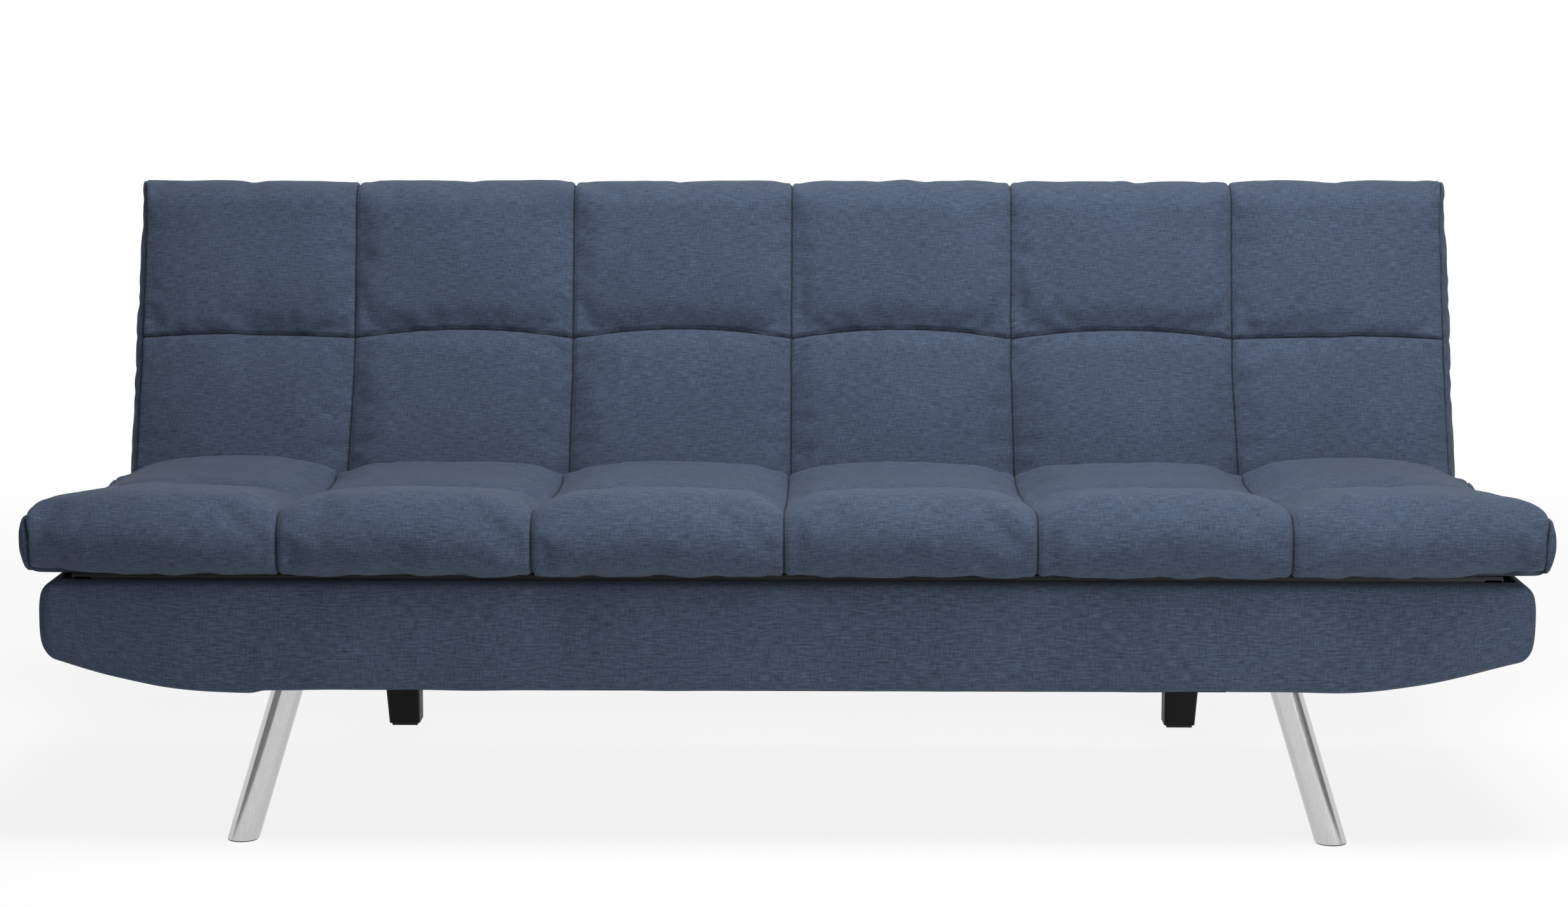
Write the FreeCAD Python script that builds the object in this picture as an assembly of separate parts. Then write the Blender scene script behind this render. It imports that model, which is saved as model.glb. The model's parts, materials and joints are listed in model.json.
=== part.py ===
import FreeCAD, Part
import math
import os

from FreeCAD import Vector

# Click-clack sofa bed: a padded seat and back on steel frames, hinged together on a
# fabric covered base box with two splayed tube legs in front and two block legs behind.
# Millimetres. +X runs along the sofa to the sitter's left, -Y is the front, +Z is up.
# Lengths are measured from the seat pad's front face (y = 0) and from the floor (z = 0).
# At the end everything shifts so that the origin is the middle of the footprint.

# Overall
baseLength = 1900.0
seatOverhang = 25.0  # seat pad past the base box at each end
backOverhang = 7.5
seatDepth = 545.0
backHeight = 505.0
seatTop = 455.0  # the sleeping surface, and the seat's
recline = 19.0  # back's lean from upright as a sofa
kickBack = 8.0  # how far the back leans past that to free the catch
bedGap = 16.0  # between the pads when the back lies flat
backFootSetback = 14.3  # back pad's lower edge behind the seat pad's rear face, as a sofa
backFootDrop = 100.2  # the same edge under the seat's top

# Pads
seatThickness = 92.5
backThickness = 120.0
seatEdgeRadius = 28.0
backEdgeRadius = 34.0
softClearance = 0.3
feltThickness = 3.0

# Base box
baseSetback = 20.0  # cover's front face behind the seat pad's front face
baseRearSetback = 50.0  # and its rear face ahead of the seat pad's rear face
baseUnderside = 218.0
baseGap = 8.5  # between the box's top edge and the seat pad
boardThickness = 18.0
coverThickness = 5.0
boatRise = 36.0  # underside's climb towards each end
boatFlat = 690.0  # half of the level stretch of the underside
baseCornerRadius = 28.0
baseTopRadius = 24.0  # base box's upper corners, seen from the front
braceHeight = 60.0
bottomClothThickness = 1.2
bottomClothMargin = 10.0  # from its ends to the runners

# Steel tube frames
railWidth = 25.0
railHeight = 30.0
railWall = 1.5
seatFrameInset = 7.0  # front rail behind the front board
seatFrameRear = 30.0  # rear rail ahead of the base box's rear face
backFrameInset = 20.0

# Runners and legs
runnerX = 590.0
runnerWidth = 40.0
runnerHeight = 30.0
runnerWall = 2.0
runnerOverhang = 9.0  # behind the rear leg
frontLegDiameter = 40.0
frontLegWall = 2.0
frontLegTopX = 644.0
frontLegFootX = 711.0
frontLegY = 100.0
legPlateThickness = 4.0
legPlateLength = 100.0
legPlateReach = 12.0  # plate's edge past the leg
legPlateInset = 3.0  # plate's other edge inside the runner's
rearLegX = 585.0
rearLegSetback = 205.0  # behind the seat pad's rear face
rearLegTop = 62.0
rearLegFoot = 46.0
rearLegEdge = 5.0
glideThickness = 4.0
glideInset = 4.0
glideProud = 1.5
glidePlug = 10.0
glideLip = 1.0  # wall of the tube that shows round the glide

# Hinges: three plates on one bolt at each end
plateThickness = 4.0
plateGap = 1.5
washerPlay = 0.1
boltDiameter = 12.0
boltClearance = 0.05
boltHeadDiameter = 22.0
boltHeadHeight = 6.0
hingeNutDiameter = 20.0
eyeRadius = 16.0
armWidth = 24.0
armDrop = 2.0  # arm's top edge under the seat rail's
armReach = 115.0  # seat arm's foot ahead of the seat frame's rear
armBoltInset = 18.0
armBoltSpacing = 50.0
nutRoom = 2.0  # between the hinge nut and what is inside it
washerInset = 4.0  # washer's edge inside the eye's
backBoltSpacing = 70.0
backSideGap = 2.0  # back's side rail inside the hinge nut
bracketReach = 100.0  # base bracket's foot ahead of the rear board
bracketBelow = 39.2  # its lower edge under the seat rails
bracketRoom = 2.0  # ahead of the rear board
bracketScrewAt = (20.0, 75.0)  # from its foot
notchRoom = 4.0  # under the hinge plates where they leave the box
backArmTop = 240.0
pocketWall = 17.0  # pad left in front of the hinge pocket
pocketMargin = 4.0
pocketReach = 45.0  # pocket's top above the hinge bolt, along the back
pocketFoot = 24.0  # stretch of the pad's lower edge that the pocket cuts right through

# Catch: a spring pawl on the seat arm rides a spiral cam on the back arm
pawlPinDiameter = 6.0
pawlPinAhead = 24.4  # of the hinge bolt
pawlPinBelow = 37.7
pawlPinFlange = 2.0
pawlPinHead = 1.4
pawlPinProud = 0.5
pawlBoss = 5.5
pawlNose = 4.0
pawlShoulder = 0.2  # nose wider than the lever, each side
pawlFlap = (10.0, 9.0)  # seat arm past the pawl's pin, ahead and above
camStart = 17.0
camLift = 5.0
camFirst = 182.0  # direction from the hinge bolt, degrees from +Y
camTail = 14.0
camStep = 0.5  # eye inside the cam's first radius
camPoints = 8
pawlGap = 0.4
contactDirection = 190.0

# Fixings
frameBoltDiameter = 8.0
frameBoltHead = 13.0
frameBoltHeadHeight = 4.0
screwDiameter = 5.0
screwHead = 9.0
screwHeadHeight = 2.5
screwLength = 24.0
screwTip = 1.0  # wood left past a screw's tip
screwInset = 10.0  # from a plate's edge
screwSpacing = 20.0
fixingClearance = 0.15
spacerDiameter = 18.0
frameBoltTail = 12.0  # back bolts past the inside of their rail

# Springs
wireDiameter = 3.6
springRun = 30.0
springPitch = 22.0
springCount = 9
clipLength = 22.0
clipDepth = 12.0
clipHeight = 9.0

# Seat rests
restX = 500.0
restLength = 60.0
restDepth = 24.0
restHeight = 38.0
restPad = 5.0
restPadInset = 4.0
restClearance = 0.3

rearClothThickness = 1.5
past = 1.0  # how far a cutting tool passes the face that it opens

nodes = {}


def box(x0, x1, y0, y1, z0, z1):
    return Part.makeBox(x1 - x0, y1 - y0, z1 - z0, Vector(x0, y0, z0))


def rod(radius, start, end):
    axis = end - start
    return Part.makeCylinder(radius, axis.Length, start, axis)


def rodX(radius, x0, x1, y, z):
    return rod(radius, Vector(x0, y, z), Vector(x1, y, z))


def mirrored(shape):
    return shape.mirror(Vector(0, 0, 0), Vector(1, 0, 0))


def pair(name, shape):
    """One node on each side of the sofa's middle."""
    nodes[name + "_right"] = [shape]
    nodes[name + "_left"] = [mirrored(shape)]


def group(name, shapes):
    """Like pieces on both sides, kept in one node."""
    nodes[name] = shapes + [mirrored(s) for s in shapes]


def roundedBox(x0, x1, y0, y1, z0, z1, radius):
    shape = box(x0, x1, y0, y1, z0, z1)
    return shape.makeFillet(radius, shape.Edges)


def tubeX(x0, x1, y0, z0, width, height, wall):
    outer = box(x0, x1, y0, y0 + width, z0, z0 + height)
    inner = box(x0 - past, x1 + past, y0 + wall, y0 + width - wall, z0 + wall, z0 + height - wall)
    return outer.cut(inner)


def tubeY(y0, y1, x0, z0, width, height, wall):
    outer = box(x0, x0 + width, y0, y1, z0, z0 + height)
    inner = box(x0 + wall, x0 + width - wall, y0 - past, y1 + past, z0 + wall, z0 + height - wall)
    return outer.cut(inner)


def boatBoard(halfLength, y0, y1):
    """Board across the sofa whose lower edge curves up towards each end, in an arc that
    leaves the level stretch tangentially and ends in a rounded corner."""
    run = halfLength - baseCornerRadius - boatFlat
    arcRadius = (run * run + boatRise * boatRise) / (2 * boatRise)
    half = math.asin(run / arcRadius) / 2
    low = baseUnderside
    middle = Vector(
        boatFlat + arcRadius * math.sin(half), y0, low + arcRadius * (1 - math.cos(half))
    )
    a = Vector(0, y0, low)
    b = Vector(boatFlat, y0, low)
    c = Vector(boatFlat + run, y0, low + boatRise)
    d = Vector(halfLength, y0, low + boatRise + baseCornerRadius)
    corner = Vector(
        halfLength - baseCornerRadius * (1 - math.sqrt(0.5)),
        y0,
        low + boatRise + baseCornerRadius * (1 - math.sqrt(0.5)),
    )
    e = Vector(halfLength, y0, baseTop - baseTopRadius)
    shoulder = Vector(
        halfLength - baseTopRadius * (1 - math.sqrt(0.5)),
        y0,
        baseTop - baseTopRadius * (1 - math.sqrt(0.5)),
    )
    f = Vector(halfLength - baseTopRadius, y0, baseTop)
    g = Vector(0, y0, baseTop)
    edges = [
        Part.LineSegment(a, b).toShape(),
        Part.Arc(b, middle, c).toShape(),
        Part.Arc(c, corner, d).toShape(),
        Part.LineSegment(d, e).toShape(),
        Part.Arc(e, shoulder, f).toShape(),
        Part.LineSegment(f, g).toShape(),
        Part.LineSegment(g, a).toShape(),
    ]
    halfBoard = Part.Face(Part.Wire(edges)).extrude(Vector(0, y1 - y0, 0))
    return halfBoard.fuse(mirrored(halfBoard)).removeSplitter()


# Places that several pieces share
seatLength = baseLength + 2 * seatOverhang
backLength = baseLength + 2 * backOverhang
padBottom = seatTop - seatThickness
baseTop = padBottom - baseGap
baseRear = seatDepth - baseRearSetback
boardOuter = baseLength / 2 - coverThickness
boardInner = boardOuter - boardThickness
boardFront = baseSetback + coverThickness
boardRear = baseRear - coverThickness
boxFront = boardFront + boardThickness
boxRear = boardRear - boardThickness

bracketX = boardInner - plateThickness
backArmX = bracketX - plateGap - plateThickness
seatArmX = backArmX - plateGap - plateThickness
hingeInner = seatArmX - boltHeadHeight - nutRoom
hingeOuter = boardInner + boltHeadHeight

seatFeltZ = padBottom - softClearance - feltThickness
seatRailZ = seatFeltZ - railHeight
seatFrameY0 = boxFront + seatFrameInset
seatFrameY1 = baseRear - seatFrameRear
sideRailX = seatArmX - railWidth

rearLegY = seatDepth + rearLegSetback
runnerTail = rearLegY + rearLegTop / 2 + runnerOverhang
armFoot = seatFrameY1 - armReach
bracketFoot = boxRear - bracketReach
bracketLow = seatRailZ - bracketBelow

backSideX = hingeInner - backSideGap - railWidth
seatBoltY = [armFoot + armBoltInset, armFoot + armBoltInset + armBoltSpacing]
backBoltY = [backArmTop - armBoltInset - backBoltSpacing, backArmTop - armBoltInset]

# The hinge axis is the one point about which the back swings from the sofa's lean to
# level: it lies on the perpendicular bisector of the lower edge's two places.
turn = math.radians(90.0 - recline)
footSofa = Vector(0, seatDepth + backFootSetback, seatTop - backFootDrop)
footBed = Vector(0, seatDepth + bedGap, seatTop)
rise = footBed - footSofa
offset = Vector(0, rise.z, -rise.y) * (0.5 / math.tan(turn / 2))
pivot = (footSofa + footBed) * 0.5 + offset
pivotAlong = pivot.y - footBed.y  # along the back from its lower edge, as it lies flat
pivotBehind = seatTop - pivot.z  # behind the back's face
pawlPinY = pivot.y - pawlPinAhead
pawlPinZ = pivot.z - pawlPinBelow
camSweep = 90.0 - recline + kickBack


def leanBack(shape):
    """From flat, with the lower edge on y = 0 and the face on z = 0, to the sofa's lean."""
    shape.rotate(Vector(0, 0, 0), Vector(1, 0, 0), 90.0 - recline)
    shape.translate(footSofa)
    return shape


def makeBase():
    half = (boardInner - hingeInner) / 2
    middle = (boardInner + hingeInner) / 2
    notchZ = seatRailZ - armDrop - notchRoom
    rearFace = boardRear + coverThickness
    nodes["base_front_board"] = [boatBoard(boardOuter, boardFront, boxFront)]
    nodes["base_front_cover"] = [boatBoard(baseLength / 2, baseSetback, boardFront)]

    # the rear is notched for the hinge plates and cut out for the runners
    notch = box(middle - half, middle + half, boxRear - past, rearFace + past, notchZ, baseTop + past)
    holeHalf = runnerWidth / 2 + fixingClearance
    hole = box(runnerX - holeHalf, runnerX + holeHalf, boxRear - past, rearFace + past,
               baseUnderside - past, baseUnderside + runnerHeight + fixingClearance)
    endCut = box(boardInner, boardOuter + past, boxRear - past, boardRear + past, 0, baseTop + past)
    rear = boatBoard(boardOuter, boxRear, boardRear)
    rearCover = boatBoard(boardOuter, boardRear, rearFace)
    for tool in (notch, hole):
        rear = rear.cut(tool).cut(mirrored(tool))
        rearCover = rearCover.cut(tool).cut(mirrored(tool))
    nodes["base_rear_board"] = [rear.cut(endCut).cut(mirrored(endCut))]
    nodes["base_rear_cover"] = [rearCover]

    endLow = baseUnderside + boatRise + baseCornerRadius
    outline = boatBoard(boardOuter, boxFront, boardRear)
    board = box(boardInner, boardOuter, boxFront, boardRear, endLow, baseTop).common(outline)
    pair("base_end_board", board)
    sheath = boatBoard(baseLength / 2, boardFront, rearFace)
    endCover = sheath.common(box(boardInner + baseTopRadius / 2, baseLength / 2, boardFront,
                                 rearFace, endLow, baseTop))
    core = boatBoard(boardOuter, boardFront - past, rearFace + past)
    pair("base_end_cover", endCover.cut(core))
    nodes["base_cross_brace"] = [
        box(-boardThickness / 2, boardThickness / 2, boxFront, boxRear,
            baseUnderside, baseUnderside + braceHeight)
    ]
    clothHalf = runnerX - runnerWidth / 2 - bottomClothMargin
    nodes["base_bottom_cloth"] = [
        box(-clothHalf, clothHalf, boardFront, boardRear,
            baseUnderside - bottomClothThickness, baseUnderside)
    ]


def squareLoop(x0, x1, y0, y1, z):
    corners = [Vector(x0, y0, z), Vector(x1, y0, z), Vector(x1, y1, z), Vector(x0, y1, z)]
    return Part.makePolygon(corners + corners[:1])


def makeFrontLegs(runner, screwX):
    """Plate under the runner and a splayed tube, cut level at the plate and above its glide.
    Gives back the runner, drilled."""
    plateTop = baseUnderside
    plateLow = plateTop - legPlateThickness
    holeRadius = screwDiameter / 2 + fixingClearance
    half = legPlateLength / 2
    plate = box(runnerX - runnerWidth / 2 + legPlateInset,
                frontLegTopX + frontLegDiameter / 2 + legPlateReach,
                frontLegY - half, frontLegY + half, plateLow, plateTop)
    screws = []
    for x in screwX:
        for y in (frontLegY - half + screwInset, frontLegY + half - screwInset):
            hole = rod(holeRadius, Vector(x, y, plateLow - past),
                       Vector(x, y, plateTop + screwLength))
            plate = plate.cut(hole)
            runner = runner.cut(hole)
            shank = rod(screwDiameter / 2, Vector(x, y, plateLow), Vector(x, y, plateLow + screwLength))
            head = rod(screwHead / 2, Vector(x, y, plateLow - screwHeadHeight), Vector(x, y, plateLow))
            screws.append(shank.fuse(head))
    group("front_leg_plates", [plate])
    group("front_leg_screws", screws)

    lean = (frontLegFootX - frontLegTopX) / plateLow
    spare = frontLegDiameter  # the tube is drawn too long at both ends, then cut level
    top = Vector(frontLegTopX - lean * spare, frontLegY, plateLow + spare)
    foot = Vector(frontLegFootX + lean * spare, frontLegY, -spare)
    innerRadius = frontLegDiameter / 2 - frontLegWall

    def level(shape, low, high):
        return shape.common(box(0, baseLength, 0, seatDepth, low, high))

    tube = rod(frontLegDiameter / 2, top, foot).cut(rod(innerRadius, top, foot))
    pair("front_leg", level(tube, glideProud, plateLow))
    plug = rod(innerRadius - fixingClearance, top, foot)
    lip = rod(frontLegDiameter / 2 - glideLip, top, foot)
    glide = level(plug, glideProud, glideProud + glidePlug)
    group("front_leg_glides", [glide.fuse(level(lip, 0, glideProud))])
    return runner


def makeRearLegs(runner, screwX):
    """Block whose outer side and depth taper towards the floor, screwed through the runner.
    Gives back the runner, drilled."""
    top = baseUnderside
    holeRadius = screwDiameter / 2 + fixingClearance
    innerX = rearLegX - rearLegFoot / 2
    footHalf = rearLegFoot / 2
    topHalf = rearLegTop / 2
    foot = squareLoop(innerX, innerX + rearLegFoot, rearLegY - footHalf, rearLegY + footHalf,
                      glideThickness)
    head = squareLoop(innerX, innerX + rearLegTop, rearLegY - topHalf, rearLegY + topHalf, top)
    leg = Part.makeLoft([foot, head], True, True)
    upright = [e for e in leg.Edges if abs(e.Vertexes[0].Z - e.Vertexes[1].Z) > top / 2]
    leg = leg.makeFillet(rearLegEdge, upright)
    seat = top + runnerHeight
    screws = []
    for x in screwX:
        hole = rod(holeRadius, Vector(x, rearLegY, top - screwLength),
                   Vector(x, rearLegY, seat + past))
        leg = leg.cut(hole)
        runner = runner.cut(hole)
        shank = rod(screwDiameter / 2, Vector(x, rearLegY, top - screwLength + screwTip),
                    Vector(x, rearLegY, seat))
        cap = rod(screwHead / 2, Vector(x, rearLegY, seat), Vector(x, rearLegY, seat + screwHeadHeight))
        screws.append(shank.fuse(cap))
    pair("rear_leg", leg)
    group("rear_leg_screws", screws)
    pad = box(innerX + glideInset, innerX + rearLegFoot - glideInset,
              rearLegY - footHalf + glideInset, rearLegY + footHalf - glideInset, 0, glideThickness)
    group("rear_leg_glides", [pad])
    return runner


def makeRunnersAndLegs():
    runner = tubeY(boxFront, runnerTail, runnerX - runnerWidth / 2, baseUnderside,
                   runnerWidth, runnerHeight, runnerWall)
    screwX = [runnerX - screwSpacing / 2, runnerX + screwSpacing / 2]
    runner = makeFrontLegs(runner, screwX)
    runner = makeRearLegs(runner, screwX)
    pair("runner", runner)


def makeSeatRests():
    railLow = seatRailZ
    padTop = railLow - restClearance
    y0 = boxFront
    block = box(restX - restLength / 2, restX + restLength / 2, y0, y0 + restDepth,
                padTop - restPad - restHeight, padTop - restPad)
    half = restLength / 2 - restPadInset
    cushion = box(restX - half, restX + half, y0 + restPadInset, y0 + restDepth,
                  padTop - restPad, padTop)
    group("seat_rest_blocks", [block])
    group("seat_rest_pads", [cushion])


def makeSpring(x, y0, y1, z):
    """Flat zigzag wire: straight runs across X joined by half turns, from y0 to y1."""
    turns = int(round((y1 - y0) / springPitch))
    pitch = (y1 - y0) / turns
    side = 1
    edges = []
    for i in range(turns + 1):
        y = y0 + i * pitch
        start = Vector(x - side * springRun / 2, y, z)
        end = Vector(x + side * springRun / 2, y, z)
        edges.append(Part.LineSegment(start, end).toShape())
        if i < turns:
            crown = Vector(x + side * (springRun / 2 + pitch / 2), y + pitch / 2, z)
            edges.append(Part.Arc(end, crown, Vector(end.x, y + pitch, z)).toShape())
        side = -side
    path = Part.Wire(edges)
    profile = Part.Wire([Part.makeCircle(wireDiameter / 2, Vector(x - springRun / 2, y0, z),
                                         Vector(1, 0, 0))])
    return path.makePipeShell([profile], True, False)


def makeClip(x, y0, z):
    """Block with a bore along X that holds the wire's end run."""
    body = box(x - clipLength / 2, x + clipLength / 2, y0, y0 + clipDepth,
               z - clipHeight / 2, z + clipHeight / 2)
    return body.cut(rodX(wireDiameter / 2 + fixingClearance, x - clipLength, x + clipLength,
                         y0 + clipDepth / 2, z))


def makeFrame(prefix, y0, y1, z0, side, wireZ, place, ends):
    """Rectangle of square tube with a middle rail, and zigzag springs from end to end."""
    parts = {
        "front_rail": tubeX(-side, side, y0, z0, railWidth, railHeight, railWall),
        "rear_rail": tubeX(-side, side, y1 - railWidth, z0, railWidth, railHeight, railWall),
        "right_rail": tubeY(y0, y1, side, z0, railWidth, railHeight, railWall),
        "left_rail": tubeY(y0, y1, -side - railWidth, z0, railWidth, railHeight, railWall),
    }
    for y in ends:
        hole = rodX(frameBoltDiameter / 2 + fixingClearance, side - past, side + railWidth + past,
                    y, z0 + railHeight / 2)
        parts["right_rail"] = parts["right_rail"].cut(hole)
        parts["left_rail"] = parts["left_rail"].cut(mirrored(hole))
    for name, shape in parts.items():
        nodes[prefix + "_" + name] = [place(shape)]
    springs = []
    clips = []
    pitch = 2 * side / springCount
    for i in range(springCount):
        x = (i - (springCount - 1) / 2) * pitch
        first = y0 + railWidth
        last = y1 - railWidth
        springs.append(place(makeSpring(x, first + clipDepth / 2, last - clipDepth / 2, wireZ)))
        clips.append(place(makeClip(x, first, wireZ)))
        clips.append(place(makeClip(x, last - clipDepth, wireZ)))
    nodes[prefix + "_springs"] = springs
    nodes[prefix + "_spring_clips"] = clips


def frameBolt(headX, tipX, y, z):
    """Bolt along X with its head under headX, on the side away from its tip."""
    away = math.copysign(frameBoltHeadHeight, headX - tipX)
    shank = rodX(frameBoltDiameter / 2, min(headX, tipX), max(headX, tipX), y, z)
    head = rodX(frameBoltHead / 2, min(headX, headX + away), max(headX, headX + away), y, z)
    return shank.fuse(head)


def lPlate(x, foot, low):
    """Hinge plate: a level leg at the height of the seat rail, then up to the eye."""
    legTop = seatRailZ + railHeight - armDrop
    leg = box(x, x + plateThickness, foot, pivot.y + eyeRadius, legTop - armWidth, legTop)
    post = box(x, x + plateThickness, pivot.y - eyeRadius, pivot.y + eyeRadius,
               legTop - armWidth, pivot.z)
    eye = rodX(eyeRadius, x, x + plateThickness, pivot.y, pivot.z)
    plate = leg.fuse(post).fuse(eye)
    if low < legTop - armWidth:
        plate = plate.fuse(box(x, x + plateThickness, foot, boxRear - bracketRoom, low, legTop))
    return plate


def bored(shape, radius, x, y, z):
    return shape.cut(rodX(radius, x - past, x + plateThickness + past, y, z))


def camPoint(step):
    """Point of the back arm's spiral edge: its radius grows evenly with the angle."""
    angle = camFirst + (camSweep + camTail) * step
    radius = camStart + camLift / camSweep * (angle - camFirst)
    turnTo = math.radians(angle)
    return Vector(0, pivot.y + radius * math.cos(turnTo), pivot.z + radius * math.sin(turnTo))


def makeHinges():
    boltRadius = boltDiameter / 2
    boltHole = boltRadius + boltClearance
    seatBoltZ = seatRailZ + railHeight / 2
    shankHole = frameBoltDiameter / 2 + fixingClearance

    # seat arm, with a wider foot of the post that carries the pawl's pin
    arm = lPlate(seatArmX, armFoot, baseTop)
    legTop = seatRailZ + railHeight - armDrop
    flapAhead, flapAbove = pawlFlap
    arm = arm.fuse(box(seatArmX, seatArmX + plateThickness, pawlPinY - flapAhead, pivot.y,
                       legTop - armWidth, pawlPinZ + flapAbove))
    arm = bored(arm, boltHole, seatArmX, pivot.y, pivot.z)
    arm = bored(arm, pawlPinDiameter / 2 + boltClearance, seatArmX, pawlPinY, pawlPinZ)
    seatBolts = []
    for y in seatBoltY:
        arm = bored(arm, shankHole, seatArmX, y, seatBoltZ)
        seatBolts.append(frameBolt(sideRailX, seatArmX + plateThickness, y, seatBoltZ))
    pair("seat_arm", arm.removeSplitter())
    group("seat_arm_bolts", seatBolts)

    # base bracket, screwed to the end board
    bracket = lPlate(bracketX, bracketFoot, bracketLow)
    bracket = bored(bracket, boltHole, bracketX, pivot.y, pivot.z)
    screws = []
    z = (bracketLow + seatRailZ) / 2
    for y in [bracketFoot + at for at in bracketScrewAt]:
        bracket = bored(bracket, screwDiameter / 2 + fixingClearance, bracketX, y, z)
        shank = rodX(screwDiameter / 2, bracketX, boardOuter - screwTip, y, z)
        head = rodX(screwHead / 2, bracketX - screwHeadHeight, bracketX, y, z)
        screws.append(shank.fuse(head))
    pair("hinge_bracket", bracket.removeSplitter())
    group("bracket_screws", screws)
    for side in ("right", "left"):
        board = nodes["base_end_board_" + side][0]
        for screw in screws:
            hole = screw if side == "right" else mirrored(screw)
            board = board.cut(hole)
        nodes["base_end_board_" + side] = [board]

    # back arm, drawn as the back lies flat on y = 0 and z = 0
    behind = backThickness + softClearance + feltThickness
    x0 = backArmX
    x1 = backArmX + plateThickness
    post = box(x0, x1, pivotAlong - armWidth / 2, pivotAlong + armWidth / 2,
               -behind - railHeight, -pivotBehind)
    leg = box(x0, x1, pivotAlong - armWidth / 2, backArmTop, -behind - railHeight, -behind)
    backArm = leanBack(post.fuse(leg))
    steps = [camPoint(i / camPoints) for i in range(camPoints + 1)]
    for p in steps:
        p.x = x0
    spiral = Part.BSplineCurve()
    spiral.interpolate(steps)
    centre = Vector(x0, pivot.y, pivot.z)
    camFace = Part.Face(Part.Wire([
        Part.LineSegment(centre, steps[0]).toShape(),
        spiral.toShape(),
        Part.LineSegment(steps[-1], centre).toShape(),
    ]))
    cam = camFace.extrude(Vector(plateThickness, 0, 0))
    eye = rodX(camStart - camStep, x0, x1, pivot.y, pivot.z)
    backArm = backArm.fuse(eye).fuse(cam).removeSplitter()
    backArm = bored(backArm, boltHole, x0, pivot.y, pivot.z)
    bolts = []
    spacers = []
    boltZ = -behind - railHeight / 2
    for y in backBoltY:
        bolts.append(leanBack(frameBolt(x1, backSideX - frameBoltTail, y, boltZ)))
        hole = leanBack(rodX(shankHole, x0 - past, x1 + past, y, boltZ))
        backArm = backArm.cut(hole)
        ring = rodX(spacerDiameter / 2, backSideX + railWidth, x0, y, boltZ)
        spacers.append(leanBack(ring.cut(rodX(shankHole, backSideX, x1, y, boltZ))))
    pair("back_arm", backArm)
    group("back_arm_bolts", bolts)
    group("back_arm_spacers", spacers)

    # the bolt that all three plates turn on, its nut and the washers between plates
    bolt = rodX(boltRadius, seatArmX - boltHeadHeight, boardInner, pivot.y, pivot.z)
    bolt = bolt.fuse(rodX(boltHeadDiameter / 2, boardInner, boardInner + boltHeadHeight,
                          pivot.y, pivot.z))
    pair("hinge_bolt", bolt)
    nut = rodX(hingeNutDiameter / 2, seatArmX - boltHeadHeight, seatArmX - washerPlay,
               pivot.y, pivot.z)
    nut = nut.cut(rodX(boltHole, hingeInner, seatArmX, pivot.y, pivot.z))
    group("hinge_nuts", [nut])
    washers = []
    for x in (backArmX - plateGap, bracketX - plateGap):
        ring = rodX(eyeRadius - washerInset, x + washerPlay, x + plateGap - washerPlay,
                    pivot.y, pivot.z)
        washers.append(ring.cut(rodX(boltHole, x - past, x + plateGap + past, pivot.y, pivot.z)))
    group("hinge_washers", washers)


def makePawls():
    """Lever whose nose stands just off the cam at the contact direction."""
    angle = math.radians(contactDirection)
    camRadius = camStart + camLift / camSweep * (contactDirection - camFirst)
    reach = camRadius + pawlGap + pawlNose
    noseY = pivot.y + reach * math.cos(angle)
    noseZ = pivot.z + reach * math.sin(angle)
    x0 = backArmX
    x1 = backArmX + plateThickness
    boss = rodX(pawlBoss, x0, x1, pawlPinY, pawlPinZ)
    nose = rodX(pawlNose, x0, x1, noseY, noseZ)
    along = Vector(0, noseY - pawlPinY, noseZ - pawlPinZ)
    across = Vector(0, -along.z, along.y).normalize() * (pawlNose - pawlShoulder)
    foot = Vector(x0, pawlPinY, pawlPinZ)
    tip = Vector(x0, noseY, noseZ)
    corners = [foot - across, foot + across, tip + across, tip - across]
    outline = Part.makePolygon(corners + corners[:1])
    lever = Part.Face(outline).extrude(Vector(plateThickness, 0, 0))
    pawl = lever.fuse(boss).fuse(nose)
    pawl = bored(pawl, pawlPinDiameter / 2 + boltClearance, x0, pawlPinY, pawlPinZ)
    pair("pawl", pawl)
    headX = seatArmX - washerPlay
    pin = rodX(pawlPinDiameter / 2, headX, x1 + pawlPinProud, pawlPinY, pawlPinZ)
    pin = pin.fuse(rodX(pawlPinDiameter / 2 + pawlPinFlange, headX - pawlPinHead, headX,
                        pawlPinY, pawlPinZ))
    group("pawl_pins", [pin])


def makePads():
    nodes["seat_pad"] = [roundedBox(-seatLength / 2, seatLength / 2, 0, seatDepth,
                                    padBottom, seatTop, seatEdgeRadius)]
    pad = roundedBox(-backLength / 2, backLength / 2, 0, backHeight, -backThickness, 0,
                     backEdgeRadius)
    for side in (1, -1):
        x = side * (hingeInner + hingeOuter) / 2
        half = (hingeOuter - hingeInner) / 2 + pocketMargin
        pocket = box(x - half, x + half, -past, pivotAlong + pocketReach,
                     -backThickness - past, -pocketWall)
        mouth = box(x - half, x + half, -past, pocketFoot, -backThickness - past, past)
        pad = pad.cut(pocket).cut(mouth)
    nodes["back_pad"] = [leanBack(pad)]
    side = sideRailX + railWidth
    nodes["seat_felt"] = [box(-side, side, seatFrameY0, seatFrameY1,
                              seatFeltZ, seatFeltZ + feltThickness)]
    behind = backThickness + softClearance
    low = backFrameInset
    high = backHeight - backFrameInset
    edge = backSideX + railWidth
    nodes["back_felt"] = [leanBack(box(-edge, edge, low, high, -behind - feltThickness, -behind))]
    rear = behind + feltThickness + railHeight
    nodes["back_rear_cloth"] = [leanBack(box(-edge, edge, low, high, -rear - rearClothThickness, -rear))]


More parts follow.
